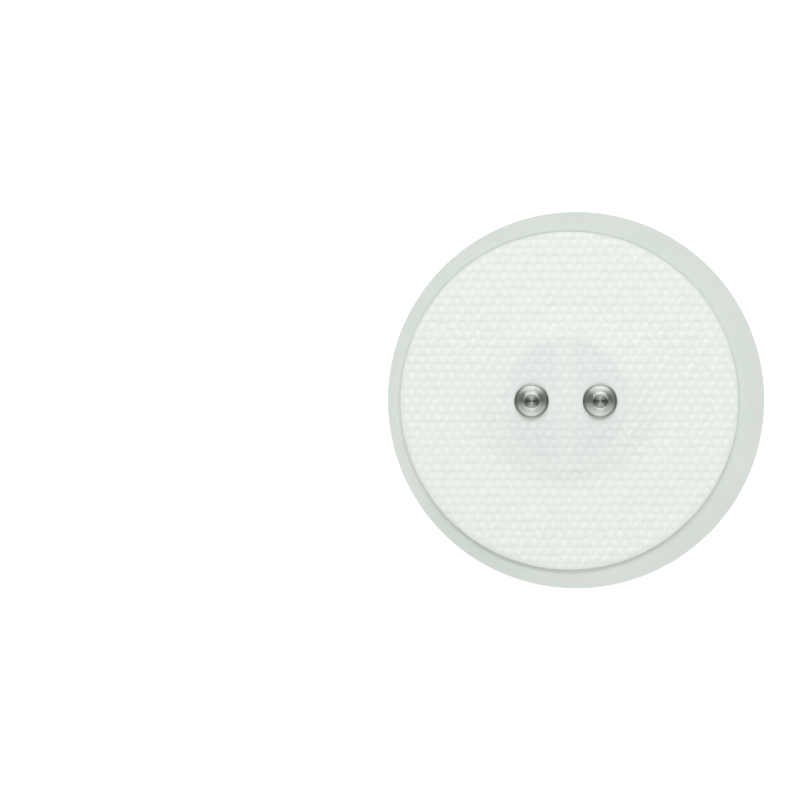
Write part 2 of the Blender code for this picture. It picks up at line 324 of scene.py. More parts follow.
# %% Levels of the cloth's two faces
def cloth_top(x, y):
    """Level of the cloth's upper face with its weave, and its painted shade in the creases, at the cut edge
    and round the studs.
    """
    rise = (mound_height - STRETCH) * mound(x, y, MOUND_TOP, MOUND_FOOT) + DOME_HEIGHT * dome(x, y)
    furrow = FURROW_DEPTH * np.exp(-(((x - pad_middle[0]) / FURROW_WIDTH) ** 2))
    level = cloth_bottom + CLOTH_THICKNESS + rise - furrow * mound(x, y, MOUND_TOP, MOUND_FOOT)
    height, painted_shade = weave(x, y)
    rim = cloth_rim(x, y)
    flat = RIM_WEAVE + (1 - RIM_WEAVE) * rim
    pressed = 0.0
    for centre in snap_centres.values():
        near = distance_from(x, y, centre)
        flat = flat * ease((near - SEAT_EDGE) / (WEAVE_BACK - SEAT_EDGE))
        pressed = pressed + ease((SEAT_SHADE_TO - near) / (SEAT_SHADE_TO - SEAT_EDGE))
    level = level + (height - weave_middle) * flat - RIM_DROP * (1 - rim)
    for centre in snap_centres.values():
        free = ease((distance_from(x, y, centre) - SEAT_EDGE) / (SEAT_LIP - SEAT_EDGE))
        level = seat_level + (level - seat_level) * free
    # painted shade: darker in the creases, at the cut edge and in the dip round each stud
    shade = painted_shade * flat + RIM_SHADE * (1 - rim) + PRESS_SHADE * pressed
    return level, np.clip(shade, 0.0, 1.0)


def cloth_under(x, y):
    """Level of the sticky underside, which follows the weave a little."""
    height, painted_shade = weave(x, y)
    hollow = mound_height * mound(x, y, HOLLOW_TOP, HOLLOW_FOOT)
    level = cloth_bottom + hollow + UNDER_WEAVE * height
    roof = eyelet_foot + EYELET_SHEET + TOUCH_GAP
    for centre in snap_centres.values():
        near = distance_from(x, y, centre)
        share = ease((ROOF_TO - near) / (ROOF_TO - ROOF_FROM))
        level = level + np.maximum(roof - level, 0.0) * share
    return level, painted_shade


# %% [markdown]
# The black contacts show through the cloth as a faint grey, with a paler band over the gap
# between them, and the cloth is a touch greyer where it hangs clear of the liner. That is light
# coming through from below, which is costly to trace, so it is painted into the colour instead:
# worked out for each point from the places of the contacts and kept beside its painted shade.

# %% What shows through the cloth
GAP_SHOWS = 0.62             # in the gap between the contacts
AIR_SHOWS = 0.3              # where there is air below
AIR_TOP = MOUND_TOP + 2 * MM
AIR_FOOT = MOUND_FOOT + MM
SOFT_EDGE = 1.1 * MM         # half the width of a contact's blurred edge

film_radius = film_high.x - pad_middle[0] - DISC_OFFSET
film_flat = film_low.x - pad_middle[0]


def shows_through(x, y):
    """How much of what lies below shows through the cloth."""
    out = distance_from(x, y, pad_middle)
    inside = ease((film_radius + SOFT_EDGE - out) / (2 * SOFT_EDGE))
    aside = ease((np.abs(x - pad_middle[0]) - film_flat + SOFT_EDGE) / (2 * SOFT_EDGE))
    air = AIR_SHOWS * mound(x, y, AIR_TOP, AIR_FOOT)
    return np.maximum(inside * (GAP_SHOWS + (1 - GAP_SHOWS) * aside), air)


print("contacts show within mm:", round(film_radius / MM, 2))

# %% [markdown]
# A disc of cloth needs an even grid that follows the weave, and a round edge.
# A circle filled with rings would squeeze its cells in the middle, so a square grid is laid
# down instead, and the points that fall just outside a rim are pulled on to it. The same
# trick punches the two round holes for the eyelets' posts.

# %% Helper that cuts a square grid to round rims
RIM_CATCH = 1.5              # points within this many cells of a rim are pulled on to it
SMALLEST_REACH = MM / 1000   # so that nothing is divided by zero


def cut_grid(step_x, step_y, outer, holes):
    """Points and square cells of a grid trimmed to an outer circle, with round holes."""
    (middle_x, middle_y), radius = outer
    columns = math.ceil(radius / step_x) + 1
    rows = math.ceil(radius / step_y) + 1
    grid_x, grid_y = np.meshgrid(
        np.arange(-columns, columns + 1) * step_x + middle_x,
        np.arange(-rows, rows + 1) * step_y + middle_y,
        indexing="ij",
    )
    x, y = grid_x.ravel(), grid_y.ravel()
    inside = np.hypot(x - middle_x, y - middle_y) < radius
    for (hole_x, hole_y), hole_radius in holes:
        inside &= np.hypot(x - hole_x, y - hole_y) > hole_radius
    for (rim_x, rim_y), rim_radius in [outer, *holes]:
        gap = np.hypot(x - rim_x, y - rim_y)
        near = ~inside & (np.abs(gap - rim_radius) < RIM_CATCH * max(step_x, step_y))
        scale = rim_radius / np.maximum(gap[near], SMALLEST_REACH)
        x[near] = rim_x + (x[near] - rim_x) * scale
        y[near] = rim_y + (y[near] - rim_y) * scale
    index = np.arange(x.size).reshape(grid_x.shape)
    cells = np.stack(
        [index[:-1, :-1].ravel(), index[1:, :-1].ravel(), index[1:, 1:].ravel(), index[:-1, 1:].ravel()],
        axis=1,
    )
    cells = cells[inside[cells].any(axis=1)]
    used, cells = np.unique(cells, return_inverse=True)
    return x[used], y[used], cells.reshape(-1, 4)


# %% [markdown]
# The upper face takes most of the triangles, because the weave shows there. The sticky
# underside gets a coarser grid. Both go into one mesh, and the rims that face each other are
# bridged, which closes the cut edge of the disc and the walls of both holes.

# %% Sizes of the cloth's grids
TOP_STEP = (FLOAT_PITCH / 9, ROW_PITCH / 8)
UNDER_STEP = (0.46 * MM, 0.45 * MM)
POST_HOLE = 1.5 * MM
RIM_MARGIN = 0.3 * MM        # an open edge this near a rim belongs to it
CLOTH_SHARP = math.radians(55)
POINT_VALUES = ("painted_shade", "shown")

print("cells of the upper face in mm:", [round(step / MM, 3) for step in TOP_STEP])


# %% One face of the cloth
def rim_edges(faces, centre, radius):
    """The open edges of some faces that run along one rim."""
    found = []
    for edge in {edge for face in faces for edge in face.edges}:
        if not edge.is_boundary:
            continue
        middle = (edge.verts[0].co + edge.verts[1].co) / 2
        if abs(math.hypot(middle.x - centre[0], middle.y - centre[1]) - radius) < RIM_MARGIN:
            found.append(edge)
    return found


def add_face_of_cloth(shape, step, level_at, layers, flip):
    """One face of the cloth, with its painted shade and what shows through kept on each point."""
    holes = [(centre, POST_HOLE) for centre in snap_centres.values()]
    x, y, cells = cut_grid(*step, (cloth_centre, cloth_radius), holes)
    level, painted_shade = level_at(x, y)
    points = []
    for place, shade_share, shown in zip(zip(x, y, level), painted_shade, shows_through(x, y)):
        point = shape.verts.new(place)
        point[layers[0]] = shade_share
        point[layers[1]] = shown
        points.append(point)
    faces = []
    for cell in cells:
        corners = [points[i] for i in (reversed(cell) if flip else cell)]
        faces.append(shape.faces.new(corners))
    return faces


# %% Build the cloth
def build_cloth():
    """The whole cloth disc as one closed mesh."""
    shape = bmesh.new()
    for name in POINT_VALUES:
        shape.verts.layers.float.new(name)
    layers = [shape.verts.layers.float[name] for name in POINT_VALUES]
    upper = add_face_of_cloth(shape, TOP_STEP, cloth_top, layers, flip=False)
    under = add_face_of_cloth(shape, UNDER_STEP, cloth_under, layers, flip=True)
    rims = [(cloth_centre, cloth_radius)] + [(centre, POST_HOLE) for centre in snap_centres.values()]
    for centre, radius in rims:
        edges = rim_edges(upper, centre, radius) + rim_edges(under, centre, radius)
        bmesh.ops.bridge_loops(shape, edges=edges)
    mesh = bpy.data.meshes.new("cloth_disc")
    shape.to_mesh(mesh)
    shape.free()
    mesh.shade_smooth()
    mesh.set_sharp_from_angle(angle=CLOTH_SHARP)
    return mesh


cloth_mesh = build_cloth()
print("cloth faces:", len(cloth_mesh.polygons))

# %% [markdown]
# White cloth tape is matt and a little green in this light, and its fibres are finer than any
# grid. The colour carries painted light and shade: it is greyer where the contacts show through,
# as light from below makes it, and painted darker in the creases, where light gets lost between
# the yarns, at the cut edge and in the dip round each stud. Both are read from the values kept on
# the points, and a fine noise in the bump stands for the fibres. The underside, which the liner
# covers, wears the same.

# %% Cloth finish
CLOTH_COLOUR = (0.841, 0.901, 0.843, 1.0)
# painted light: the cloth's colour where the contacts and the air below show through
SHOWN_COLOUR = (0.785, 0.83, 0.795, 1.0)
# tint of the painted shade in the creases, at the cut edge and round the studs
PAINTED_SHADE_TINT = (0.86, 0.865, 0.865, 1.0)


def cloth_finish():
    """Matt white yarn with fine fibres."""
    material, tree, shader = start_material("white_cloth", Roughness=0.9, Sheen_Weight=0.15)
    shade_share = add_node(tree, "ShaderNodeAttribute", attribute_name="painted_shade")
    shown = add_node(tree, "ShaderNodeAttribute", attribute_name="shown")
    place = add_node(tree, "ShaderNodeTexCoord")
    fibres = add_node(tree, "ShaderNodeTexNoise", Scale=3500.0, Detail=3.0, Roughness=0.6)
    tree.links.new(place.outputs["Object"], fibres.inputs["Vector"])
    colour = add_node(tree, "ShaderNodeMix", data_type="RGBA", A=CLOTH_COLOUR, B=SHOWN_COLOUR)
    shaded = add_node(tree, "ShaderNodeMix", data_type="RGBA", blend_type="MULTIPLY", B=PAINTED_SHADE_TINT)
    tree.links.new(shown.outputs["Fac"], colour.inputs["Factor"])
    tree.links.new(shade_share.outputs["Fac"], shaded.inputs["Factor"])
    tree.links.new(colour.outputs["Result"], shaded.inputs["A"])
    tree.links.new(shaded.outputs["Result"], shader.inputs["Base Color"])
    add_bump(tree, shader, fibres.outputs["Fac"], strength=0.5, distance=0.03 * MM)
    return material


cloth = add_piece("cloth_disc", cloth_mesh, cloth_finish(), "white_cloth", "cloth_backing")

# %% [markdown]
# Each snap stud is drawn from thin sheet and turned bright: a head with a nearly flat top
# inside a low lip, a neck for the lead wire's spring, and a flange with a rolled edge. It is
# round, so its section is drawn once and spun. The corners of the section are cut back again and
# again, which rounds them as pressing does, while the flats stay flat. A slope of a few degrees
# is enough to mirror a lamp as a bright ring, so the top's dish is kept very shallow, and a small
# groove beside the rolled edge, with painted shade on that edge, makes the thin dark line that
# the real flange has there.

# %% Section of the stud, from the dish's middle outwards and back underneath
STUD_SECTION_MM = [
    (0.0, 2.575), (0.4, 2.576), (1.3, 2.582), (1.5, 2.585), (1.62, 2.6), (1.78, 2.6), (1.89, 2.56),
    (1.97, 2.48), (2.0, 2.34), (1.97, 2.1), (1.75, 1.65), (1.6, 1.27), (1.62, 0.8), (1.85, 0.56),
    (2.1, 0.52), (2.3, 0.52), (2.6, 0.51), (3.05, 0.49), (3.17, 0.48), (3.2, 0.46), (3.26, 0.36),
    (3.34, 0.36), (3.4, 0.46), (3.47, 0.475), (3.55, 0.46), (3.61, 0.38), (3.62, 0.2), (3.58, 0.03),
    (3.42, 0.0), (3.22, 0.0), (3.07, 0.27),
    (2.0, 0.27), (1.48, 0.57), (1.35, 0.92), (1.35, 1.32), (1.64, 1.88), (1.75, 2.2), (1.55, 2.31),
    (0.32, 2.15), (0.0, 2.15),
]
STUD_ROUNDINGS = 3
STUD_TURNS = 128


def round_corners(points, times):
    """Cut each corner of an open line back to its quarters, several times."""
    for _ in range(times):
        cut = [points[0]]
        for (x0, z0), (x1, z1) in zip(points, points[1:]):
            cut.append((0.75 * x0 + 0.25 * x1, 0.75 * z0 + 0.25 * z1))
            cut.append((0.25 * x0 + 0.75 * x1, 0.25 * z0 + 0.75 * z1))
        cut.append(points[-1])
        points = cut
    return points


stud_section = round_corners(STUD_SECTION_MM, STUD_ROUNDINGS)
print("section points:", len(stud_section))


# %% Helper that spins a section
AXIS_WELD = 0.0001 * MM      # joins the copies of a point on the axis


def spin_section(name, section_mm, turns):
    """A turned solid from a section in millimetres that starts and ends on its axis."""
    shape = bmesh.new()
    points = [shape.verts.new((radius * MM, 0.0, height * MM)) for radius, height in section_mm]
    edges = [shape.edges.new(pair) for pair in zip(points, points[1:])]
    bmesh.ops.spin(
        shape,
        geom=points + edges,
        axis=(0, 0, 1),
        cent=(0, 0, 0),
        steps=turns,
        angle=2 * math.pi,
        use_merge=True,
    )
    bmesh.ops.remove_doubles(shape, verts=shape.verts, dist=AXIS_WELD)
    bmesh.ops.recalc_face_normals(shape, faces=shape.faces)
    mesh = bpy.data.meshes.new(name)
    shape.to_mesh(mesh)
    shape.free()
    mesh.shade_smooth()
    return mesh


# %% [markdown]
# Nickel plate is bright metal. Drawing left fine rings round the axis, finer than the
# picture can show one by one, but they spread each reflection away from the axis: bright
# towards the lamps above and below, dark towards the sides. The rings are noise read along the
# distance from the axis, and the shader's own anisotropy does the rest. The flange was pressed
# against the cloth and the head's lip rubs in lead wires, so both are duller than the dish inside
# the lip, and the roughness rises where the lip begins. The head, down to where it meets the
# flange, and the rolled edge with its groove get painted shade: their colour is darker than the
# flange's, so the colour changes with the distance from the axis too.

# %% Values of the stud's finish, by the distance from its axis
LIP_FROM, LIP_TO = 1.45 * MM, 1.7 * MM
NECK_FROM, NECK_TO = 1.9 * MM, 2.1 * MM
ROLL_FROM, ROLL_TO = 2.95 * MM, 3.3 * MM
DISH_ROUGHNESS = 0.18
FLANGE_ROUGHNESS = 0.40
# Painted shade: the head and the rolled edge are coloured darker than the flange.
HEAD_SHADE_COLOUR = (0.515, 0.54, 0.50, 1.0)
FLANGE_COLOUR = (0.60, 0.63, 0.58, 1.0)
ROLL_SHADE_COLOUR = (0.40, 0.42, 0.39, 1.0)
RING_SCALE = 4000.0
ON_PLAN = (1.0, 1.0, 0.0)    # leaves the height out of a place


# %% Stud finish
def stud_finish():
    """Bright plate with turned rings, and painted shade on the head and the rolled edge."""
    material, tree, shader = start_material(
        "stud_plate",
        Metallic=1.0,
        Anisotropic=0.93,
        Anisotropic_Rotation=0.25,
    )
    place = add_node(tree, "ShaderNodeTexCoord")
    flat = add_node(tree, "ShaderNodeVectorMath", operation="MULTIPLY")
    flat.inputs[1].default_value = ON_PLAN
    reach = add_node(tree, "ShaderNodeVectorMath", operation="LENGTH")
    rings = add_node(tree, "ShaderNodeTexNoise", noise_dimensions="1D", Scale=RING_SCALE, Detail=2.0)
    dullness = add_node(
        tree,
        "ShaderNodeMapRange",
        From_Min=LIP_FROM,
        From_Max=LIP_TO,
        To_Min=DISH_ROUGHNESS,
        To_Max=FLANGE_ROUGHNESS,
    )
    past_neck = add_node(tree, "ShaderNodeMapRange", From_Min=NECK_FROM, From_Max=NECK_TO)
    on_roll = add_node(tree, "ShaderNodeMapRange", From_Min=ROLL_FROM, From_Max=ROLL_TO)
    plate = add_node(tree, "ShaderNodeMix", data_type="RGBA", A=HEAD_SHADE_COLOUR, B=FLANGE_COLOUR)
    colour = add_node(tree, "ShaderNodeMix", data_type="RGBA", B=ROLL_SHADE_COLOUR)
    tangent = add_node(tree, "ShaderNodeTangent", direction_type="RADIAL", axis="Z")
    tree.links.new(place.outputs["Object"], flat.inputs[0])
    tree.links.new(flat.outputs["Vector"], reach.inputs[0])
    tree.links.new(reach.outputs["Value"], rings.inputs["W"])
    tree.links.new(reach.outputs["Value"], dullness.inputs["Value"])
    tree.links.new(reach.outputs["Value"], past_neck.inputs["Value"])
    tree.links.new(reach.outputs["Value"], on_roll.inputs["Value"])
    tree.links.new(past_neck.outputs["Result"], plate.inputs["Factor"])
    tree.links.new(plate.outputs["Result"], colour.inputs["A"])
    tree.links.new(on_roll.outputs["Result"], colour.inputs["Factor"])
    tree.links.new(colour.outputs["Result"], shader.inputs["Base Color"])
    tree.links.new(dullness.outputs["Result"], shader.inputs["Roughness"])
    tree.links.new(tangent.outputs["Tangent"], shader.inputs["Tangent"])
    add_bump(tree, shader, rings.outputs["Fac"], strength=0.25, distance=0.01 * MM)
    return material


# %% Build both studs
stud_plate = stud_finish()
for name, centre in snap_centres.items():
    stud_mesh = spin_section(f"snap_stud_{name}", stud_section, STUD_TURNS)
    stud = add_piece(f"snap_stud_{name}", stud_mesh, stud_plate, "stud_plate", f"stud_{name}")
    stud.location = (*centre, stud_foot)

# %% [markdown]
# The eyelets hide under the cloth, where nothing but their plain shape matters.
# Their CAD solids stay, and only get a pressed metal finish.


# %% Eyelet finish
def eyelet_finish():
    """Pressed, slightly dull plate."""
    material, tree, shader = start_material(
        "eyelet_plate", Base_Color=(0.6, 0.59, 0.57, 1.0), Metallic=1.0, Roughness=0.35
    )
    place = add_node(tree, "ShaderNodeTexCoord")
    grain = add_node(tree, "ShaderNodeTexNoise", Scale=2500.0, Detail=4.0)
    tree.links.new(place.outputs["Object"], grain.inputs["Vector"])
    add_bump(tree, shader, grain.outputs["Fac"], strength=0.3, distance=0.01 * MM)
    return material


eyelet_plate = eyelet_finish()
for name in SIDES:
    eyelet = frame["nodes"][f"eyelet_{name}"]
    eyelet.data.materials.clear()
    eyelet.data.materials.append(eyelet_plate)
    print("new finish on", eyelet.name)

# %% [markdown]
# Under the cloth lie two half-moons of black conductive film, each on a slightly larger
# half-moon of clear gel. They are flat cut sheets, so each is one filled outline given a
# thickness, with a small rounded rim. A curve does both and is then turned into a mesh.
# The gel is soft. Its edge shrinks back unevenly from the die's line, and it bulges where the
# middle of its flat was squeezed, so its outline is bent a little before it is filled.

# %% Sizes of the half-moons
MOON_CORNER = 0.5 * MM       # radius of the two corners
ARC_POINTS = 120
CORNER_POINTS = 8
FLAT_POINTS = 50
GEL_SHRINK = 0.05 * MM       # how far the strongest wave draws the gel's edge in, each way
GEL_WAVES = ((7, 1.0), (17, 0.5))            # waves in a turn, and how strong each is
GEL_BULGE = {"left": 0.45 * MM, "right": 0.1 * MM}
BULGE_REACH = 3.2 * MM       # from the middle of the bulge to its end
CURVE_WELD = 0.001 * MM      # joins the points where a curve's faces and rim meet
MOON_SHARP = math.radians(35)

print("gel bulges in mm:", [round(bulge / MM, 2) for bulge in GEL_BULGE.values()])


# %% Outline of a half-moon
def arc(centre, radius, start, end, count):
    """Points along an arc, from one angle to another."""
    angles = np.linspace(start, end, count)
    return [(centre[0] + radius * math.cos(a), centre[1] + radius * math.sin(a)) for a in angles]


def half_moon(radius, flat):
    """A disc cut off at x = flat, with its two sharp corners rounded."""
    corner_x = flat + MOON_CORNER
    corner_y = math.sqrt((radius - MOON_CORNER) ** 2 - corner_x**2)
    lean = math.atan2(corner_y, corner_x)
    outline = arc((0.0, 0.0), radius, -lean, lean, ARC_POINTS)
    outline += arc((corner_x, corner_y), MOON_CORNER, lean, math.pi, CORNER_POINTS)[1:]
    outline += [(flat, y) for y in np.linspace(corner_y, -corner_y, FLAT_POINTS)[1:-1]]
    outline += arc((corner_x, -corner_y), MOON_CORNER, -math.pi, -lean, CORNER_POINTS)[:-1]
    return outline


def squeeze(outline, flat, bulge):
    """The outline of soft gel, drawn in unevenly and bulging in the middle of its flat."""
    squeezed = []
    for x, y in outline:
        angle = math.atan2(y, x)
        drawn_in = GEL_SHRINK * sum(size * (1 + math.sin(count * angle)) for count, size in GEL_WAVES)
        share = 1 - drawn_in / math.hypot(x, y)
        if x < flat + MOON_CORNER:
            x = x - bulge * float(ease(1 - abs(y) / BULGE_REACH))
        squeezed.append((x * share, y * share))
    return squeezed


# %% Helper that makes a flat half-moon
def moon_mesh(name, side, node, rim, bulge=None):
    """A flat half-moon between the levels of its CAD node, of film or, with a bulge, of gel."""
    low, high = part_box(node)
    disc_x = pad_middle[0] + side * DISC_OFFSET
    radius = (high.x - disc_x) if side > 0 else (disc_x - low.x)
    flat = (low.x - disc_x) if side > 0 else (disc_x - high.x)
    curve = bpy.data.curves.new(name, "CURVE")
    curve.dimensions = "2D"
    curve.fill_mode = "BOTH"
    curve.bevel_depth = rim
    curve.bevel_resolution = 3
    curve.offset = -rim
    curve.extrude = (high.z - low.z) / 2 - rim
    outline = half_moon(radius, flat)
    if bulge is not None:
        outline = squeeze(outline, flat, bulge)
    spline = curve.splines.new("POLY")
    spline.points.add(len(outline) - 1)
    for point, (x, y) in zip(spline.points, outline):
        point.co = (disc_x + side * x, pad_middle[1] + side * y, 0.0, 1.0)
    spline.use_cyclic_u = True
    carrier = bpy.data.objects.new(name, curve)
    shape = bmesh.new()
    shape.from_mesh(bpy.data.meshes.new_from_object(carrier))
    bpy.data.objects.remove(carrier)
    bmesh.ops.remove_doubles(shape, verts=shape.verts, dist=CURVE_WELD)
    bmesh.ops.translate(shape, verts=shape.verts, vec=(0.0, 0.0, (low.z + high.z) / 2))
    bmesh.ops.recalc_face_normals(shape, faces=shape.faces)
    mesh = bpy.data.meshes.new(name)
    shape.to_mesh(mesh)
    shape.free()
    mesh.shade_smooth()
    mesh.set_sharp_from_angle(angle=MOON_SHARP)
    return mesh


# %% [markdown]
# The film is plastic filled with carbon: black, even and slightly satin. A faint grain in the
# bump keeps it from looking like paint.


# %% Contact finish
def carbon_finish():
    """Black carbon film."""
    material, tree, shader = start_material(
        "black_carbon", Base_Color=(0.016, 0.016, 0.017, 1.0), Roughness=0.35
    )
    place = add_node(tree, "ShaderNodeTexCoord")
    grain = add_node(tree, "ShaderNodeTexNoise", Scale=900.0, Detail=3.0)
    tree.links.new(place.outputs["Object"], grain.inputs["Vector"])
    add_bump(tree, shader, grain.outputs["Fac"], strength=0.25, distance=0.02 * MM)
    return material


# %% [markdown]
# The gel is clear and wet. Real refraction would block the lamps' light from reaching what
# lies behind it, so it is a thin see-through shine instead: low alpha for the clear body and
# a smooth coat for the wet face.


# %% Gel finish
def gel_finish():
    """Clear wet gel."""
    material, tree, shader = start_material(
        "clear_gel",
        Base_Color=(0.10, 0.11, 0.10, 1.0),
        Roughness=0.06,
        Alpha=0.12,
        Coat_Weight=1.0,
        Coat_Roughness=0.03,
    )
    place = add_node(tree, "ShaderNodeTexCoord")
    ripple = add_node(tree, "ShaderNodeTexNoise", Scale=260.0, Detail=2.0)
    tree.links.new(place.outputs["Object"], ripple.inputs["Vector"])
    add_bump(tree, shader, ripple.outputs["Fac"], strength=0.4, distance=0.05 * MM)
    return material


# %% Build both contacts and both gels
FILM_RIM = 0.03 * MM         # how far each rim is rounded
GEL_RIM = 0.22 * MM
black_carbon = carbon_finish()
clear_gel = gel_finish()
for name, side in SIDES.items():
    film_mesh = moon_mesh(f"carbon_film_{name}", side, f"contact_{name}", FILM_RIM)
    add_piece(f"carbon_film_{name}", film_mesh, black_carbon, "black_carbon", f"contact_{name}")
    gel_mesh = moon_mesh(f"gel_pad_{name}", side, f"gel_{name}", GEL_RIM, GEL_BULGE[name])
    add_piece(f"gel_pad_{name}", gel_mesh, clear_gel, "clear_gel", f"gel_{name}")

# %% [markdown]
# The release liner is a disc of clear film with a faint green-grey tint. It is spun from a
# section whose corners are only just broken, as a die cuts them. Its border looks like a thin
# cloudy veil, because bare film scatters a little light, and towards the lower left it is a
# little darker, where more veil is laid on. Where adhesive or gel wets the film the veil is gone,
# and from below the cloth and the black contacts show through as they are. A little of it comes
# back in the ring where the cloth climbs the mound and hangs free. So the veil is the shader's
# alpha, picked by the distances from the middles of the cloth, the mound and the darker patch.

# %% Sizes of the liner and of its veil
LINER_TURNS = 256
LINER_BREAK_MM = 0.03        # how far the die's cut breaks each corner
LINER_SHARP = math.radians(30)
FILM_COLOUR = (0.335, 0.468, 0.345, 1.0)
# CUT_COLOUR makes the film greyer and less green over its last CUT_WIDTH.
CUT_COLOUR = (0.38, 0.42, 0.39, 1.0)
CUT_WIDTH = 0.6 * MM         # the pressed edge that the die left
VEIL = (0.175, 0.193)        # how much the bare film hides, at its clearest and its haziest
HAZE_RANGE = (0.3, 0.7)      # the noise mostly lies between these
# PATCH_VEIL lays more veil on a patch towards the lower left, which makes the film darker there.
PATCH_VEIL = 0.03            # more of it in a cloudy patch towards the lower left
PATCH_MIDDLE = (-22 * MM, -31 * MM, 0.0)
PATCH_RADIUS = 21 * MM
STUCK_VEIL = 0.02            # where the adhesive or the gel wets it
LOOSE_VEIL = 0.08            # under the slope of the mound, where it hangs free
LOOSE_FROM = 14.5 * MM
LOOSE_TO = 19.5 * MM
STUCK_EDGE = 0.4 * MM        # half the width over which one veil turns into the next

print("bare film hides from", VEIL[0], "to", VEIL[1])


# %% Liner finish
def liner_finish():
    """Clear film, seen as a grey-green veil where nothing sticks to it."""
    material, tree, shader = start_material("clear_film", Roughness=0.22)
    place = add_node(tree, "ShaderNodeTexCoord")
    haze = add_node(tree, "ShaderNodeTexNoise", Scale=90.0, Detail=5.0, Roughness=0.7)
    veil = add_node(
        tree,
        "ShaderNodeMapRange",
        From_Min=HAZE_RANGE[0],
        From_Max=HAZE_RANGE[1],
        To_Min=VEIL[0],
        To_Max=VEIL[1],
    )
    from_patch = add_node(tree, "ShaderNodeVectorMath", operation="DISTANCE")
    from_patch.inputs[1].default_value = PATCH_MIDDLE
    patch = add_node(
        tree,
        "ShaderNodeMapRange",
        interpolation_type="SMOOTHSTEP",
        From_Max=PATCH_RADIUS,
        To_Min=PATCH_VEIL,
        To_Max=0.0,
    )
    clouded = add_node(tree, "ShaderNodeMath", operation="ADD")
    from_middle = add_node(tree, "ShaderNodeVectorMath", operation="LENGTH")
    cut = add_node(tree, "ShaderNodeMapRange", From_Min=liner_radius - CUT_WIDTH, From_Max=liner_radius)
    colour = add_node(tree, "ShaderNodeMix", data_type="RGBA", A=FILM_COLOUR, B=CUT_COLOUR)
    from_cloth = add_node(tree, "ShaderNodeVectorMath", operation="DISTANCE")
    from_cloth.inputs[1].default_value = (*cloth_centre, 0.0)
    from_stack = add_node(tree, "ShaderNodeVectorMath", operation="DISTANCE")
    from_stack.inputs[1].default_value = (*pad_middle, 0.0)
    oval = (1 / (1 + MOUND_OVAL), 1 / (1 - MOUND_OVAL), 0.0)
    narrowed = add_node(tree, "ShaderNodeVectorMath", operation="MULTIPLY")
    narrowed.inputs[1].default_value = oval
    from_foot = add_node(tree, "ShaderNodeVectorMath", operation="DISTANCE")
    from_foot.inputs[1].default_value = (pad_middle[0] * oval[0], pad_middle[1] * oval[1], 0.0)
    bare = add_node(
        tree, "ShaderNodeMapRange", From_Min=cloth_radius - STUCK_EDGE, From_Max=cloth_radius + STUCK_EDGE
    )
    loose_in = add_node(
        tree, "ShaderNodeMapRange", From_Min=LOOSE_FROM - STUCK_EDGE, From_Max=LOOSE_FROM + STUCK_EDGE
    )
    loose_out = add_node(
        tree, "ShaderNodeMapRange", From_Min=LOOSE_TO + STUCK_EDGE, From_Max=LOOSE_TO - STUCK_EDGE
    )
    loose = add_node(tree, "ShaderNodeMath", operation="MULTIPLY")
    stuck = add_node(tree, "ShaderNodeMix", A=STUCK_VEIL, B=LOOSE_VEIL)
    alpha = add_node(tree, "ShaderNodeMix")
    tree.links.new(place.outputs["Object"], haze.inputs["Vector"])
    tree.links.new(place.outputs["Object"], from_middle.inputs[0])
    tree.links.new(from_middle.outputs["Value"], cut.inputs["Value"])
    tree.links.new(cut.outputs["Result"], colour.inputs["Factor"])
    tree.links.new(colour.outputs["Result"], shader.inputs["Base Color"])
    tree.links.new(place.outputs["Object"], from_cloth.inputs[0])
    tree.links.new(place.outputs["Object"], from_stack.inputs[0])
    tree.links.new(place.outputs["Object"], narrowed.inputs[0])
    tree.links.new(narrowed.outputs["Vector"], from_foot.inputs[0])
    tree.links.new(haze.outputs["Fac"], veil.inputs["Value"])
    tree.links.new(place.outputs["Object"], from_patch.inputs[0])
    tree.links.new(from_patch.outputs["Value"], patch.inputs["Value"])
    tree.links.new(veil.outputs["Result"], clouded.inputs[0])
    tree.links.new(patch.outputs["Result"], clouded.inputs[1])
    tree.links.new(from_cloth.outputs["Value"], bare.inputs["Value"])
    tree.links.new(from_stack.outputs["Value"], loose_in.inputs["Value"])
    tree.links.new(from_foot.outputs["Value"], loose_out.inputs["Value"])
    tree.links.new(loose_in.outputs["Result"], loose.inputs[0])
    tree.links.new(loose_out.outputs["Result"], loose.inputs[1])
    tree.links.new(loose.outputs["Value"], stuck.inputs["Factor"])
    tree.links.new(bare.outputs["Result"], alpha.inputs["Factor"])
    tree.links.new(stuck.outputs["Result"], alpha.inputs["A"])
    tree.links.new(clouded.outputs["Value"], alpha.inputs["B"])
    tree.links.new(alpha.outputs["Result"], shader.inputs["Alpha"])
    add_bump(tree, shader, haze.outputs["Fac"], strength=0.25, distance=0.05 * MM)
    return material


# %% Build the liner
def liner_mesh():
    """A thin disc with its edges just broken."""
    radius = liner_radius / MM
    thick = (liner_high.z - liner_low.z) / MM
    section = [
        (0.0, thick),
        (radius - LINER_BREAK_MM, thick),
        (radius, thick - LINER_BREAK_MM),
        (radius, LINER_BREAK_MM),
        (radius - LINER_BREAK_MM, 0.0),
        (0.0, 0.0),
    ]
    mesh = spin_section("liner_film", section, LINER_TURNS)
    mesh.set_sharp_from_angle(angle=LINER_SHARP)
    return mesh


add_piece("liner_film", liner_mesh(), liner_finish(), "clear_film", "release_liner")

# %% [markdown]
# The pad lies on a plain white floor. To the camera the floor glows a little, which makes it
# paper white without any more light on the pad. Near the pad the glow is faint, so that the
# pad's shadow stays as deep as it should, and further out, where the lamps reach less, it is
# stronger. From below the floor is see-through, so that the underside can be looked at.

# %% Size and light of the floor
FLOOR_SIZE = 3.0
FLOOR_DROP = 0.02 * MM       # below the liner, so that the two don't share a face
NEAR_GLOW, FAR_GLOW = 0.2, 0.5
GLOW_FROM, GLOW_TO = 0.06, 0.3               # metres from the pad
FLOOR_COLOUR = (0.88, 0.88, 0.88, 1.0)

print("floor's glow near and far:", NEAR_GLOW, FAR_GLOW)


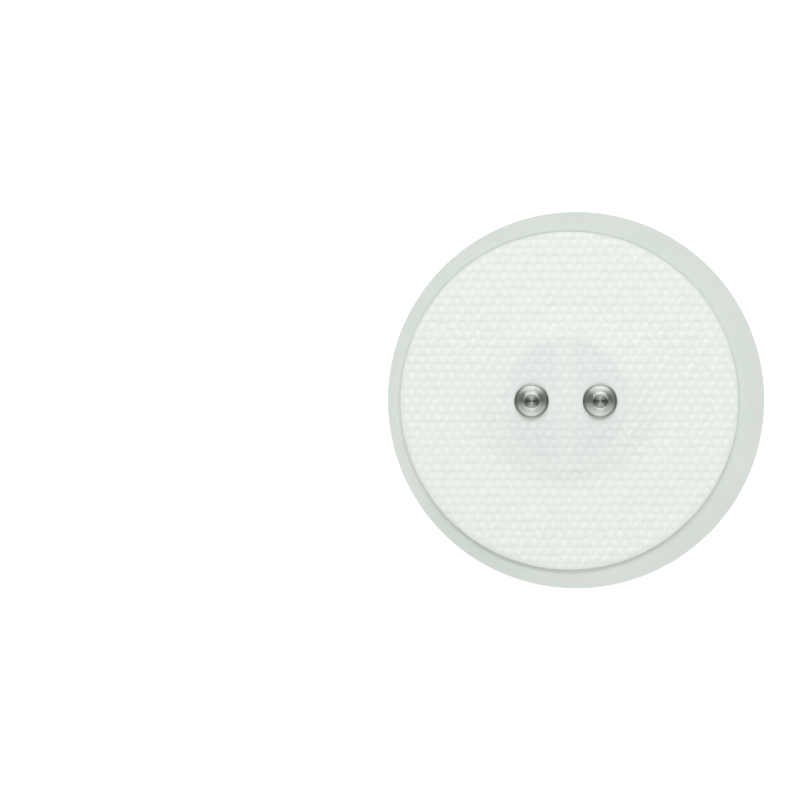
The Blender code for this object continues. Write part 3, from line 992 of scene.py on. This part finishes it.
# %% Floor finish
def floor_finish():
    """White to the camera, with the shadow kept."""
    material = bpy.data.materials.new("white_floor")
    material.use_nodes = True
    tree = material.node_tree
    tree.nodes.clear()
    rays = add_node(tree, "ShaderNodeLightPath")
    side = add_node(tree, "ShaderNodeNewGeometry")
    paint = add_node(tree, "ShaderNodeBsdfDiffuse", Color=FLOOR_COLOUR)
    place = add_node(tree, "ShaderNodeTexCoord")
    away = add_node(tree, "ShaderNodeVectorMath", operation="LENGTH")
    strength = add_node(
        tree,
        "ShaderNodeMapRange",
        From_Min=GLOW_FROM,
        From_Max=GLOW_TO,
        To_Min=NEAR_GLOW,
        To_Max=FAR_GLOW,
    )
    glow = add_node(tree, "ShaderNodeEmission")
    seen = add_node(tree, "ShaderNodeMath", operation="MAXIMUM")
    through = add_node(tree, "ShaderNodeMath", operation="MAXIMUM")
    lit = add_node(tree, "ShaderNodeAddShader")
    pick = add_node(tree, "ShaderNodeMixShader")
    clear = add_node(tree, "ShaderNodeBsdfTransparent")
    below = add_node(tree, "ShaderNodeMixShader")
    result = add_node(tree, "ShaderNodeOutputMaterial")
    links = tree.links
    links.new(rays.outputs["Is Camera Ray"], seen.inputs[0])
    links.new(rays.outputs["Is Glossy Ray"], seen.inputs[1])
    links.new(seen.outputs["Value"], through.inputs[0])
    links.new(rays.outputs["Is Transmission Ray"], through.inputs[1])
    links.new(place.outputs["Object"], away.inputs[0])
    links.new(away.outputs["Value"], strength.inputs["Value"])
    links.new(strength.outputs["Result"], glow.inputs["Strength"])
    links.new(paint.outputs["BSDF"], lit.inputs[0])
    links.new(glow.outputs["Emission"], lit.inputs[1])
    links.new(through.outputs["Value"], pick.inputs["Fac"])
    links.new(paint.outputs["BSDF"], pick.inputs[1])
    links.new(lit.outputs["Shader"], pick.inputs[2])
    links.new(side.outputs["Backfacing"], below.inputs["Fac"])
    links.new(pick.outputs["Shader"], below.inputs[1])
    links.new(clear.outputs["BSDF"], below.inputs[2])
    links.new(below.outputs["Shader"], result.inputs["Surface"])
    return material


# %% Lay the floor
floor_shape = bmesh.new()
bmesh.ops.create_grid(floor_shape, x_segments=1, y_segments=1, size=FLOOR_SIZE / 2)
floor_mesh = bpy.data.meshes.new("floor")
floor_shape.to_mesh(floor_mesh)
floor_shape.free()
floor = bpy.data.objects.new("floor", floor_mesh)
floor.location.z = cad_low.z - FLOOR_DROP
floor_mesh.materials.append(floor_finish())
bpy.context.scene.collection.objects.link(floor)
print("floor side in m:", FLOOR_SIZE)

# %% [markdown]
# The photograph has the light of a flatbed scan: a long strip towards the top of the picture,
# low enough to draw out the weave, a weaker one nearer the vertical towards the bottom, and
# little from the sides. Two area lamps stand for the strips. They are wide, because a narrow
# bright one would show in the metal as a hard arc.

# %% Lamps
LAMP_LENGTH = 0.9
# Each lamp's place along Y, height and width in metres, and its power in watts.
LAMPS = {"north_strip": (0.47, 0.47, 0.22, 2.8), "south_strip": (-0.20, 0.50, 0.30, 1.4)}

for name, (along_y, height, width, power) in LAMPS.items():
    lamp_data = bpy.data.lights.new(name, "AREA")
    lamp_data.shape = "RECTANGLE"
    lamp_data.size = LAMP_LENGTH
    lamp_data.size_y = width
    lamp_data.energy = power
    lamp = bpy.data.objects.new(name, lamp_data)
    lamp.location = (cloth_centre[0], along_y, height)
    aim = Vector((cloth_centre[0], cloth_centre[1], 0.0)) - lamp.location
    lamp.rotation_euler = aim.to_track_quat("-Z", "Y").to_euler()
    bpy.context.scene.collection.objects.link(lamp)
    print(name, "at", [round(v, 3) for v in lamp.location])

# %% [markdown]
# The sky fills the shadows. Bright metal mirrors it, and in the photograph the studs are pale
# above and below and dark at both sides. So the sky has a bright strip towards +Y and one
# towards -Y, both near the vertical, and is dimmer beyond them. It is dark towards the sides,
# and dim straight overhead, where a scanner has its dark slit. The camera sees plain white
# instead.

# %% Brightness of the sky
OVERHEAD_SKY = 0.1
STRIP_SKY = 1.75
FAR_SKY = 0.9
SIDE_SKY = 0.07
STRIP_FROM, STRIP_TO = 0.12, 0.34            # how much of Y a direction has
FAR_FROM, FAR_TO = 0.42, 0.6
SIDE_FROM, SIDE_TO = 0.05, 0.45              # and how much of X

print("sky overhead, in the strips, beyond them, at the sides:", OVERHEAD_SKY, STRIP_SKY, FAR_SKY, SIDE_SKY)

# %% Light of the sky
world = bpy.data.worlds.new("sky")
world.use_nodes = True
bpy.context.scene.world = world
sky_tree = world.node_tree
sky = sky_tree.nodes["Background"]
sky.inputs["Color"].default_value = (1.0, 1.0, 1.0, 1.0)
sky_way = add_node(sky_tree, "ShaderNodeTexCoord")
sky_parts = add_node(sky_tree, "ShaderNodeSeparateXYZ")
sky_tree.links.new(sky_way.outputs["Generated"], sky_parts.inputs["Vector"])


def how_far_towards(axis, start, end):
    """0 where the sky's direction has little of an axis, 1 where it has much."""
    size = add_node(sky_tree, "ShaderNodeMath", operation="ABSOLUTE")
    ramp = add_node(
        sky_tree, "ShaderNodeMapRange", interpolation_type="SMOOTHSTEP", From_Min=start, From_Max=end
    )
    sky_tree.links.new(sky_parts.outputs[axis], size.inputs[0])
    sky_tree.links.new(size.outputs["Value"], ramp.inputs["Value"])
    return ramp.outputs["Result"]


band = add_node(sky_tree, "ShaderNodeMix", A=OVERHEAD_SKY, B=STRIP_SKY)
far = add_node(sky_tree, "ShaderNodeMix", B=FAR_SKY)
whole = add_node(sky_tree, "ShaderNodeMix", B=SIDE_SKY)
sky_tree.links.new(how_far_towards("Y", STRIP_FROM, STRIP_TO), band.inputs["Factor"])
sky_tree.links.new(how_far_towards("Y", FAR_FROM, FAR_TO), far.inputs["Factor"])
sky_tree.links.new(how_far_towards("X", SIDE_FROM, SIDE_TO), whole.inputs["Factor"])
sky_tree.links.new(band.outputs["Result"], far.inputs["A"])
sky_tree.links.new(far.outputs["Result"], whole.inputs["A"])
sky_tree.links.new(whole.outputs["Result"], sky.inputs["Strength"])

# %% What the camera sees instead
backdrop = add_node(sky_tree, "ShaderNodeBackground", Strength=1.0, Color=(1.0, 1.0, 1.0, 1.0))
sky_rays = add_node(sky_tree, "ShaderNodeLightPath")
sky_pick = add_node(sky_tree, "ShaderNodeMixShader")
sky_tree.links.new(sky_rays.outputs["Is Camera Ray"], sky_pick.inputs["Fac"])
sky_tree.links.new(sky.outputs["Background"], sky_pick.inputs[1])
sky_tree.links.new(backdrop.outputs["Background"], sky_pick.inputs[2])
sky_tree.links.new(sky_pick.outputs["Shader"], sky_tree.nodes["World Output"].inputs["Surface"])
print("sky nodes:", len(sky_tree.nodes))

# %% [markdown]
# The photograph looks straight down, and a scan has no perspective. A very long lens from
# far up comes close to that. The pad lies in the right half of the frame, as in the
# photograph, so the camera stands over a point to the left of the liner's middle.

# %% Camera
PICTURE_PIXELS = 800
PIXELS_PER_MM = 4.75
LINER_PIXEL = (576.1, 400.1)
SENSOR = 36.0                # in millimetres, as Blender has them
LENS = 400.0

view_width = PICTURE_PIXELS / PIXELS_PER_MM * MM
camera_data = bpy.data.cameras.new("camera")
camera_data.sensor_width = SENSOR
camera_data.lens = LENS
camera_data.clip_end = 10.0
camera = bpy.data.objects.new("camera", camera_data)
half_picture = PICTURE_PIXELS / 2
camera.location = (
    -(LINER_PIXEL[0] - half_picture) / PIXELS_PER_MM * MM,
    (LINER_PIXEL[1] - half_picture) / PIXELS_PER_MM * MM,
    view_width * LENS / SENSOR,
)
bpy.context.scene.collection.objects.link(camera)
bpy.context.scene.camera = camera
print("camera at", [round(v, 4) for v in camera.location])

# %% [markdown]
# Colours should come out as they are written, so the view transform is the plain one.

# %% Finish
bpy.context.scene.view_settings.view_transform = "Standard"
bpy.context.view_layer.update()
